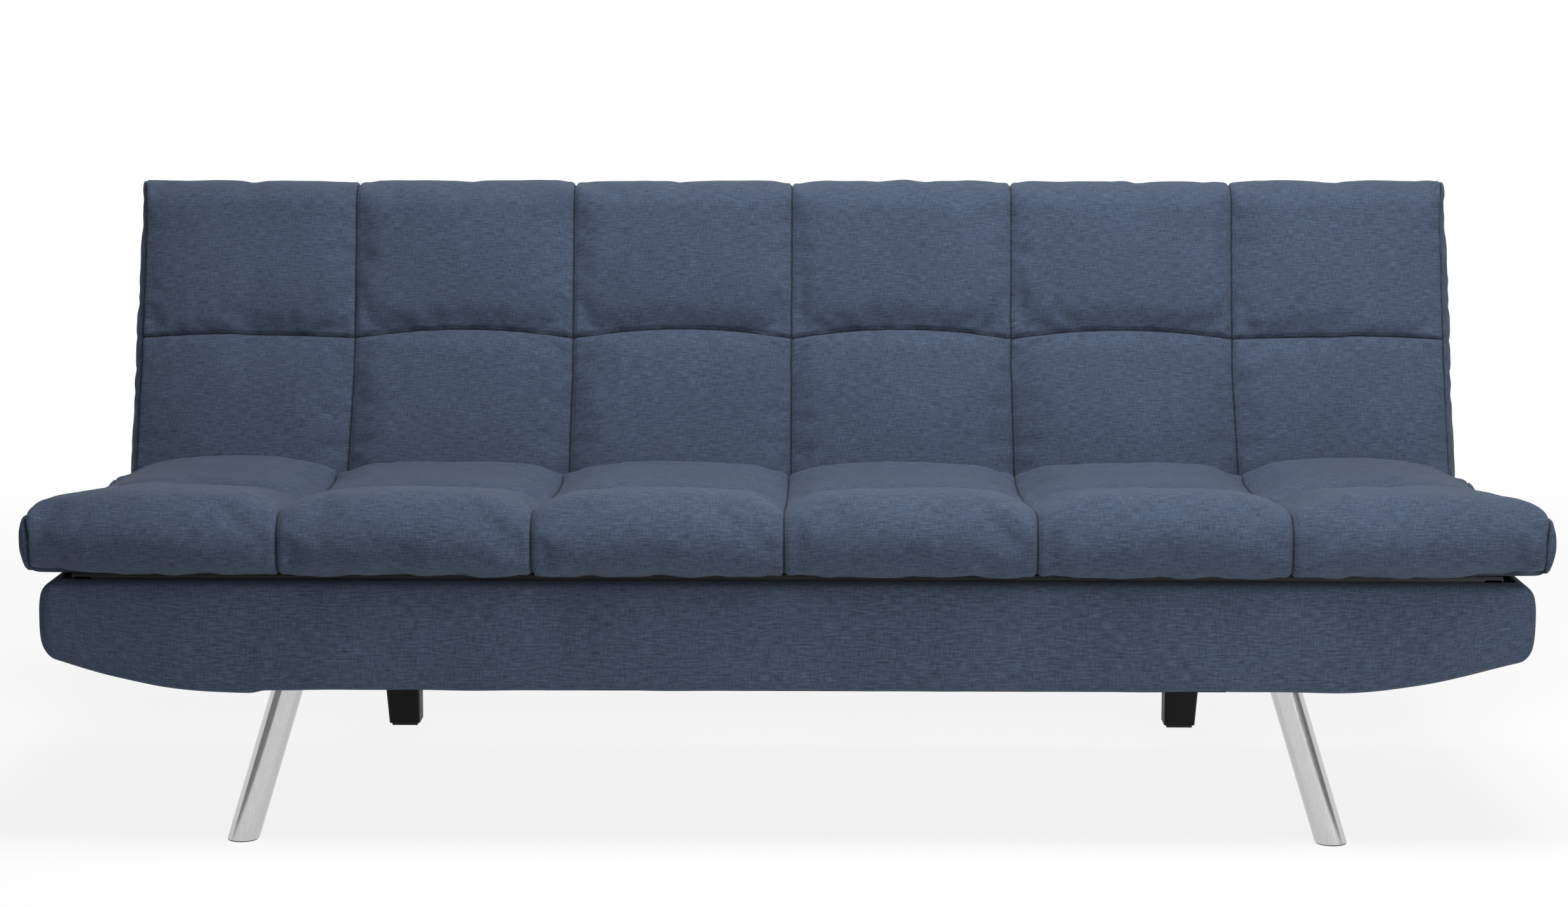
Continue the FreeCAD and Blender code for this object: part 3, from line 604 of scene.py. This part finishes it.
def planPath():
    # rounded rectangle seen from above, with steps that crowd where the hinge notches are
    half, radius = baseHigh[0], baseWrap["planRadius"]
    y0, y1 = baseLow[1], rearCoverHigh[1]
    nearEnd = [half - radius - 0.002, half - 0.0225, half - 0.0245, half - 0.046, half - 0.048]
    inner = np.concatenate([np.linspace(0, half - 0.07, 84), nearEnd])
    line = np.unique(np.concatenate([-inner, inner, [-half + radius, half - radius]]))
    ends = np.linspace(y0 + radius, y1 - radius, 44)
    turnAngle = np.radians(np.linspace(0, 90, 7))[1:-1]
    parts = []
    parts.append(np.stack([line, np.full(len(line), y0)], axis=1))
    parts.append(np.stack([half - radius + radius * np.sin(turnAngle),
                           y0 + radius - radius * np.cos(turnAngle)], axis=1))
    parts.append(np.stack([np.full(len(ends), half), ends], axis=1))
    parts.append(np.stack([half - radius + radius * np.cos(turnAngle),
                           y1 - radius + radius * np.sin(turnAngle)], axis=1))
    parts.append(np.stack([line[::-1], np.full(len(line), y1)], axis=1))
    parts.append(np.stack([-half + radius - radius * np.sin(turnAngle),
                           y1 - radius + radius * np.cos(turnAngle)], axis=1))
    parts.append(np.stack([np.full(len(ends), -half), ends[::-1]], axis=1))
    parts.append(np.stack([-half + radius - radius * np.cos(turnAngle),
                           y0 + radius - radius * np.sin(turnAngle)], axis=1))
    return np.vstack(parts)


def makeBaseWrap():
    # A skin round the box: at each place on the plan it runs over the top edge, down the
    # face, under the lower edge and back up inside the board. How far in a point lies
    # gives its own x, and that x gives the height of the boat-shaped outline there.
    path = planPath()
    y0, y1 = baseLow[1], rearCoverHigh[1]
    half, radius = baseHigh[0], baseWrap["planRadius"]
    middle = np.array([0.0, (y0 + y1) / 2])
    core = np.stack([np.clip(path[:, 0], -half + radius, half - radius),
                     np.clip(path[:, 1], y0 + radius, y1 - radius)], axis=1)
    way = path - core
    # a straight side's core lies straight behind it
    way /= np.linalg.norm(way, axis=1)[:, None]
    deep, edge = baseWrap["deep"], baseWrap["edge"]
    turnSteps, faceSteps = baseWrap["turnSteps"], baseWrap["faceSteps"]
    arc = np.linspace(0, 1, turnSteps + 1)
    inwards = deep * (1 - np.sin(arc * math.pi / 2))  # from deep to 0, crowding at the edge
    q = np.concatenate([inwards, np.zeros(faceSteps - 1), inwards[::-1], np.full(3, deep)])
    faceT = np.concatenate([np.zeros(turnSteps + 1), np.linspace(0, 1, faceSteps + 1)[1:-1],
                            np.ones(turnSteps + 1), [0.75, 0.5, 0.25]])
    x = path[:, None, 0] - way[:, None, 0] * q
    y = path[:, None, 1] - way[:, None, 1] * q
    sideways = np.abs(way[:, None, 1])
    lean = np.clip(1 - q / edge, 0, 1)
    fall = edge * (1 - np.sqrt(np.clip(1 - lean ** 2, 0, 1))) * sideways
    top = boatTop(x) - fall + baseWrap["proud"]
    low = boatUnderside(x) + fall
    outline = path[:, None, 0] + 0 * q
    low = low + baseWrap["wave"] * (np.sin(outline * 23 + 1.0) + 0.7 * np.sin(outline * 51)) / 2
    low = low - np.interp(outline, *zip(*baseWrap["sag"]))
    notch = ((np.abs(path[:, 0]) > half - 0.0475) & (np.abs(path[:, 0]) < half - 0.0228)
             & (way[:, 1] > 0.5))
    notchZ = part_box("seat_arm_right")[0][2] - 0.004
    top = np.where(notch[:, None], np.minimum(top, notchZ), top)
    z = top + (low - top) * faceT
    onFace = swell(faceT * 2 - 1, 3, 0.8) * (q < 1e-9)
    puff = baseWrap["crown"] * onFace * np.ones_like(x)
    ripple = smoothNoise(np.stack([x, y, z], axis=-1).reshape(-1, 3), 0.14, 31, 2).reshape(x.shape)
    puff = puff + 0.0007 * ripple * (q < 1e-9)
    x = x + way[:, None, 0] * puff
    y = y + way[:, None, 1] * puff
    points = np.stack([x, y, z], axis=-1)
    count = points.shape[1]
    index = np.arange(points.shape[0] * count).reshape(-1, count)
    quads = gridQuads(index, closeU=True, closeV=True)
    around = np.concatenate([[0], np.cumsum(np.linalg.norm(np.diff(np.vstack([path, path[:1]]),
                                                                   axis=0), axis=1))])
    down = np.concatenate([[0], np.cumsum(np.linalg.norm(np.diff(np.vstack([points[0], points[0][:1]]),
                                                                 axis=0), axis=1))])
    uvGrid = np.stack(np.meshgrid(around, -down, indexing="ij"), axis=-1)
    cell = np.stack([uvGrid[:-1, :-1], uvGrid[1:, :-1], uvGrid[1:, 1:], uvGrid[:-1, 1:]], axis=2)
    piece = meshObject("baseWrap", points.reshape(-1, 3), quads, cell.reshape(-1, 2),
                       {"seamShade": np.zeros(len(points) * count)})
    subdivided(piece)
    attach(piece, "base")
    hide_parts("base_front_cover", "base_rear_cover", "base_end_cover_left",
                "base_end_cover_right")
    return piece


basePiece = makeBaseWrap()
print("base wrap made", len(basePiece.data.polygons))


# ---- materials ----

def newMaterial(name):
    material = bpy.data.materials.new(name)
    material.use_nodes = True
    return material, material.node_tree.nodes, material.node_tree.links, \
        material.node_tree.nodes["Principled BSDF"]


def mapped(nodes, links, source, scale, turn=(0, 0, 0)):
    mapping = nodes.new("ShaderNodeMapping")
    mapping.inputs["Scale"].default_value = scale
    mapping.inputs["Rotation"].default_value = turn
    links.new(source, mapping.inputs["Vector"])
    return mapping.outputs["Vector"]


def noise(nodes, links, vector, scale, detail=3.0, rough=0.55):
    node = nodes.new("ShaderNodeTexNoise")
    node.inputs["Scale"].default_value = scale
    node.inputs["Detail"].default_value = detail
    node.inputs["Roughness"].default_value = rough
    links.new(vector, node.inputs["Vector"])
    return node.outputs["Fac"]


def wave(nodes, links, vector, scale, way):
    node = nodes.new("ShaderNodeTexWave")
    node.bands_direction = way
    node.inputs["Scale"].default_value = scale
    node.inputs["Distortion"].default_value = 1.2
    node.inputs["Detail"].default_value = 1.0
    node.inputs["Detail Scale"].default_value = 0.6
    links.new(vector, node.inputs["Vector"])
    return node.outputs["Fac"]


def maths(nodes, links, kind, first, second):
    node = nodes.new("ShaderNodeMath")
    node.operation = kind
    for socket, value in zip(node.inputs, (first, second)):
        if isinstance(value, (int, float)):
            socket.default_value = value
        else:
            links.new(value, socket)
    return node.outputs["Value"]


def ramp(nodes, links, value, stops):
    node = nodes.new("ShaderNodeValToRGB")
    elements = node.color_ramp.elements
    while len(elements) < len(stops):
        elements.new(0.5)
    for element, (at, colour) in zip(elements, stops):
        element.position = at
        element.color = (*colour, 1)
    links.new(value, node.inputs["Fac"])
    return node.outputs["Color"]


def bump(nodes, links, shader, height, strength, distance):
    node = nodes.new("ShaderNodeBump")
    node.inputs["Strength"].default_value = strength
    node.inputs["Distance"].default_value = distance
    links.new(height, node.inputs["Height"])
    links.new(node.outputs["Normal"], shader.inputs["Normal"])


def toLinear(*srgb):
    return tuple(((c / 255 + 0.055) / 1.055) ** 2.4 if c > 10 else c / 255 / 12.92 for c in srgb)


# dark, mid and light are the weave's own blues; seamDark and seamBand set the painted shade along the seams
clothLook = {
    "dark": toLinear(39, 47, 60), "mid": toLinear(54, 65, 82), "light": toLinear(70, 82, 103),
    "slubLong": 60.0, "slubShort": 620.0, "thread": 240.0, "seamDark": 0.78, "seamBand": (0.45, 0.95),
}


def clothMaterial():
    # heathered plain weave: long slubs along both threads, mixed into three blues
    material, nodes, links, shader = newMaterial("blueHeather")
    uv = nodes.new("ShaderNodeUVMap")
    uv.uv_map = "cloth"
    place = uv.outputs["UV"]
    look = clothLook
    weft = noise(nodes, links, mapped(nodes, links, place, (look["slubLong"], look["slubShort"], 1)), 1.0)
    warp = noise(nodes, links, mapped(nodes, links, place, (look["slubShort"], look["slubLong"] * 1.5, 1)), 1.0)
    fleck = noise(nodes, links, place, 520.0, 2.0)
    cloud = noise(nodes, links, place, 7.0, 2.0)
    mixed = maths(nodes, links, "ADD", maths(nodes, links, "MULTIPLY", weft, 0.46),
                  maths(nodes, links, "MULTIPLY", warp, 0.30))
    mixed = maths(nodes, links, "ADD", mixed, maths(nodes, links, "MULTIPLY", fleck, 0.16))
    mixed = maths(nodes, links, "ADD", mixed, maths(nodes, links, "MULTIPLY", cloud, 0.08))
    colour = ramp(nodes, links, mixed, [(0.36, look["dark"]), (0.5, look["mid"]), (0.64, look["light"])])
    # painted shade: the colour is darkened in a narrow band along the seams' grooves, where shade falls in the
    # creases
    seam = nodes.new("ShaderNodeAttribute")
    seam.attribute_name = "seamShade"
    seamShadeBand = nodes.new("ShaderNodeMapRange")
    seamShadeBand.inputs["From Min"].default_value, seamShadeBand.inputs["From Max"].default_value = look["seamBand"]
    links.new(seam.outputs["Fac"], seamShadeBand.inputs["Value"])
    shade = maths(nodes, links, "SUBTRACT", 1.0,
                  maths(nodes, links, "MULTIPLY", seamShadeBand.outputs["Result"], look["seamDark"]))
    darken = nodes.new("ShaderNodeMix")
    darken.data_type = "RGBA"
    darken.blend_type = "MULTIPLY"
    darken.inputs["Factor"].default_value = 1.0
    links.new(colour, darken.inputs["A"])
    links.new(shade, darken.inputs["B"])
    links.new(darken.outputs["Result"], shader.inputs["Base Color"])
    threads = maths(nodes, links, "MULTIPLY", wave(nodes, links, place, look["thread"], "X"),
                    wave(nodes, links, place, look["thread"], "Y"))
    height = maths(nodes, links, "ADD", threads, maths(nodes, links, "MULTIPLY", weft, 0.8))
    bump(nodes, links, shader, height, 0.35, 0.0006)
    shader.inputs["Roughness"].default_value = 0.92
    shader.inputs["Specular IOR Level"].default_value = 0.2
    shader.inputs["Sheen Weight"].default_value = 0.06
    shader.inputs["Sheen Roughness"].default_value = 0.45
    return material


def grainMaterial(name, colours, scale, rough, metal=0.0, strength=0.15, specular=0.5, stretch=(1, 1, 1)):
    # a noise stretched along one axis drives colour, roughness and a shallow bump
    material, nodes, links, shader = newMaterial(name)
    place = nodes.new("ShaderNodeTexCoord").outputs["Object"]
    grain = noise(nodes, links, mapped(nodes, links, place, stretch), scale, 4.0)
    blotch = noise(nodes, links, place, scale * 0.06, 2.0)
    mixed = maths(nodes, links, "ADD", maths(nodes, links, "MULTIPLY", grain, 0.6),
                  maths(nodes, links, "MULTIPLY", blotch, 0.4))
    links.new(ramp(nodes, links, mixed, [(0.35, colours[0]), (0.65, colours[1])]),
              shader.inputs["Base Color"])
    roughness = maths(nodes, links, "ADD", rough - 0.08, maths(nodes, links, "MULTIPLY", grain, 0.16))
    links.new(roughness, shader.inputs["Roughness"])
    shader.inputs["Metallic"].default_value = metal
    shader.inputs["Specular IOR Level"].default_value = specular
    bump(nodes, links, shader, grain, strength, 0.0004)
    return material


def dress(material, *nodeNames):
    for name in nodeNames:
        target = frame["nodes"][name]
        target.data.materials.clear()
        target.data.materials.append(material)


def isAny(name, words):
    return any(word in name for word in words)


blueHeather = clothMaterial()
for piece in (seatPiece, backPiece, rearPiece, basePiece):
    piece.data.materials.clear()
    piece.data.materials.append(blueHeather)

blackPaint = grainMaterial("blackPaint", ((0.012, 0.012, 0.013), (0.022, 0.022, 0.024)), 900, 0.42)
plateSteel = grainMaterial("plateSteel", ((0.32, 0.32, 0.33), (0.46, 0.46, 0.48)), 500, 0.38, 1.0)
zincSteel = grainMaterial("zincSteel", ((0.50, 0.50, 0.49), (0.66, 0.66, 0.65)), 700, 0.32, 1.0)
springWire = grainMaterial("springWire", ((0.20, 0.20, 0.21), (0.34, 0.34, 0.36)), 800, 0.35, 1.0)
pineTimber = grainMaterial("pineTimber", ((0.42, 0.27, 0.14), (0.62, 0.44, 0.26)), 90, 0.7, 0.0, 0.3,
                           0.3, (0.08, 1.2, 1.2))
blackLining = grainMaterial("blackLining", ((0.010, 0.010, 0.011), (0.028, 0.028, 0.030)), 1400, 0.95,
                            0.0, 0.4, 0.1)
# felt, with its colour darkened to near black as painted shade for the shadowed gap between the seat and the base
feltPaintedShade = grainMaterial("feltPaintedShade", ((0.030, 0.030, 0.031), (0.075, 0.074, 0.073)), 420, 0.97, 0.0, 0.6, 0.1)
greyCard = grainMaterial("greyCard", ((0.16, 0.155, 0.15), (0.36, 0.35, 0.34)), 420, 0.97, 0.0, 0.6, 0.1)
blackRubber = grainMaterial("blackRubber", ((0.012, 0.012, 0.012), (0.03, 0.03, 0.03)), 600, 0.8)
clipPlastic = grainMaterial("clipPlastic", ((0.66, 0.65, 0.60), (0.76, 0.75, 0.70)), 500, 0.5)
legPlastic = grainMaterial("legPlastic", ((0.002, 0.002, 0.0025), (0.006, 0.006, 0.0065)), 1100, 0.5,
                           specular=0.15)


def chromeMaterial():
    material, nodes, links, shader = newMaterial("satinChrome")
    place = nodes.new("ShaderNodeTexCoord").outputs["Object"]
    brushed = noise(nodes, links, mapped(nodes, links, place, (1400, 1400, 30)), 1.0, 3.0)
    links.new(ramp(nodes, links, brushed, [(0.3, (0.50, 0.50, 0.51)), (0.7, (0.60, 0.60, 0.61))]),
              shader.inputs["Base Color"])
    links.new(maths(nodes, links, "ADD", 0.10, maths(nodes, links, "MULTIPLY", brushed, 0.10)),
              shader.inputs["Roughness"])
    shader.inputs["Metallic"].default_value = 1.0
    bump(nodes, links, shader, brushed, 0.05, 0.0002)
    return material


satinChrome = chromeMaterial()
slotLooks = {
    "lining": blackLining, "felt": feltPaintedShade, "timber": pineTimber, "frame_paint": blackPaint,
    "hinge_steel": plateSteel, "zinc": zincSteel, "spring_wire": springWire,
    "clip_plastic": clipPlastic, "leg_chrome": satinChrome, "leg_plastic": legPlastic,
    "rubber": blackRubber, "upholstery": blueHeather,
}
for part in frame["record"]["subparts"]:
    dress(slotLooks[part["material_slot"]], part["node"])
print("materials made")


# ---- floor, light and camera ----

studio = {
    "worldLight": 0.22, "keyPower": 92.0, "fillPower": 42.0, "rimPower": 22.0, "flagSize": (0.5, 1.6),
    "floor": (0.86, 0.86, 0.86), "floorShows": 0.86, "fadeFrom": 1.6, "fadeTo": 3.2,
}


def seenOnly(nodes, links):
    # 1 for what the camera, a mirror or a glass sees, and 0 for the light that falls on things
    path = nodes.new("ShaderNodeLightPath")
    seen = maths(nodes, links, "MAXIMUM", path.outputs["Is Camera Ray"], path.outputs["Is Glossy Ray"])
    return maths(nodes, links, "MAXIMUM", seen, path.outputs["Is Transmission Ray"])


def makeStudio():
    # pale floor whose colour fades to white away from the sofa, which keeps a soft shadow on it
    size = 14.0
    ground = np.array([[-size, -size, 0], [size, -size, 0], [size, size, 0], [-size, size, 0]])
    floor = meshObject("floor", ground, np.array([[0, 1, 2, 3]]))
    material, nodes, links, shader = newMaterial("paleFloor")
    place = nodes.new("ShaderNodeTexCoord").outputs["Object"]
    shader.inputs["Base Color"].default_value = (*studio["floor"], 1)
    shader.inputs["Roughness"].default_value = 0.9
    shader.inputs["Specular IOR Level"].default_value = 0.1
    white = nodes.new("ShaderNodeEmission")
    reach = nodes.new("ShaderNodeVectorMath")
    reach.operation = "LENGTH"
    links.new(mapped(nodes, links, place, (0.8, 1.0, 1.0)), reach.inputs[0])
    fade = nodes.new("ShaderNodeMapRange")
    fade.interpolation_type = "SMOOTHSTEP"
    fade.inputs["From Min"].default_value = studio["fadeFrom"]
    fade.inputs["From Max"].default_value = studio["fadeTo"]
    fade.inputs["To Min"].default_value = studio["floorShows"]
    fade.inputs["To Max"].default_value = 1.0
    links.new(reach.outputs["Value"], fade.inputs["Value"])
    mix = nodes.new("ShaderNodeMixShader")
    links.new(maths(nodes, links, "MULTIPLY", fade.outputs["Result"], seenOnly(nodes, links)),
              mix.inputs["Fac"])
    links.new(shader.outputs["BSDF"], mix.inputs[1])
    links.new(white.outputs["Emission"], mix.inputs[2])
    links.new(mix.outputs["Shader"], nodes["Material Output"].inputs["Surface"])
    floor.data.materials.append(material)

    world = bpy.data.worlds.new("studio")
    bpy.context.scene.world = world
    world.use_nodes = True
    nodes, links = world.node_tree.nodes, world.node_tree.links
    lit = nodes["Background"]
    lit.inputs["Color"].default_value = (1, 1, 1, 1)
    lit.inputs["Strength"].default_value = studio["worldLight"]
    white = nodes.new("ShaderNodeBackground")
    white.inputs["Color"].default_value = (1, 1, 1, 1)
    white.inputs["Strength"].default_value = 1.0
    mix = nodes.new("ShaderNodeMixShader")
    links.new(seenOnly(nodes, links), mix.inputs["Fac"])
    links.new(lit.outputs["Background"], mix.inputs[1])
    links.new(white.outputs["Background"], mix.inputs[2])
    links.new(mix.outputs["Shader"], nodes["World Output"].inputs["Surface"])


def areaLight(name, place, target, size, power):
    data = bpy.data.lights.new(name, "AREA")
    data.shape = "RECTANGLE"
    data.size, data.size_y = size
    data.energy = power
    lamp = bpy.data.objects.new(name, data)
    lamp.location = place
    way = np.array(target) - np.array(place)
    yaw = math.atan2(way[1], way[0]) - math.pi / 2
    pitch = math.atan2(way[2], math.hypot(way[0], way[1])) + math.pi / 2
    lamp.rotation_euler = (pitch, 0, yaw)
    bpy.context.scene.collection.objects.link(lamp)


def darkFlag(name, place):
    # a dark card beside the set that only polished metal sees, so that round metal has dark edges
    width, height = studio["flagSize"]
    x, y, z = place
    corners = np.array([[x, y - width, z - height / 2], [x, y + width, z - height / 2],
                        [x, y + width, z + height / 2], [x, y - width, z + height / 2]])
    card = meshObject(name, corners, np.array([[0, 1, 2, 3]]))
    card.data.materials.append(greyCard)
    card.visible_camera = False
    card.visible_diffuse = False
    card.visible_shadow = False


cameraView = {"place": (0.052, -4.2218, 1.094), "pitch": 8.52, "yaw": 0.8, "lens": 70.4}


def makeCamera():
    data = bpy.data.cameras.new("view")
    data.sensor_width = 36.0
    data.lens = cameraView["lens"]
    camera = bpy.data.objects.new("view", data)
    camera.location = cameraView["place"]
    camera.rotation_euler = (math.radians(90 - cameraView["pitch"]), 0, math.radians(cameraView["yaw"]))
    bpy.context.scene.collection.objects.link(camera)
    bpy.context.scene.camera = camera


makeStudio()
darkFlag("flagLeft", (-1.35, -0.9, 0.6))
darkFlag("flagRight", (1.35, -0.9, 0.6))
areaLight("key", (0.35, -0.8, 2.6), (0.2, 0.1, 0.4), (1.6, 1.2), studio["keyPower"])
areaLight("fill", (2.4, -2.8, 0.7), (0.5, 0.0, 0.3), (1.2, 1.2), studio["fillPower"])
areaLight("rim", (-0.5, 3.2, 2.6), (0.0, 0.0, 0.5), (3.0, 1.5), studio["rimPower"])
makeCamera()
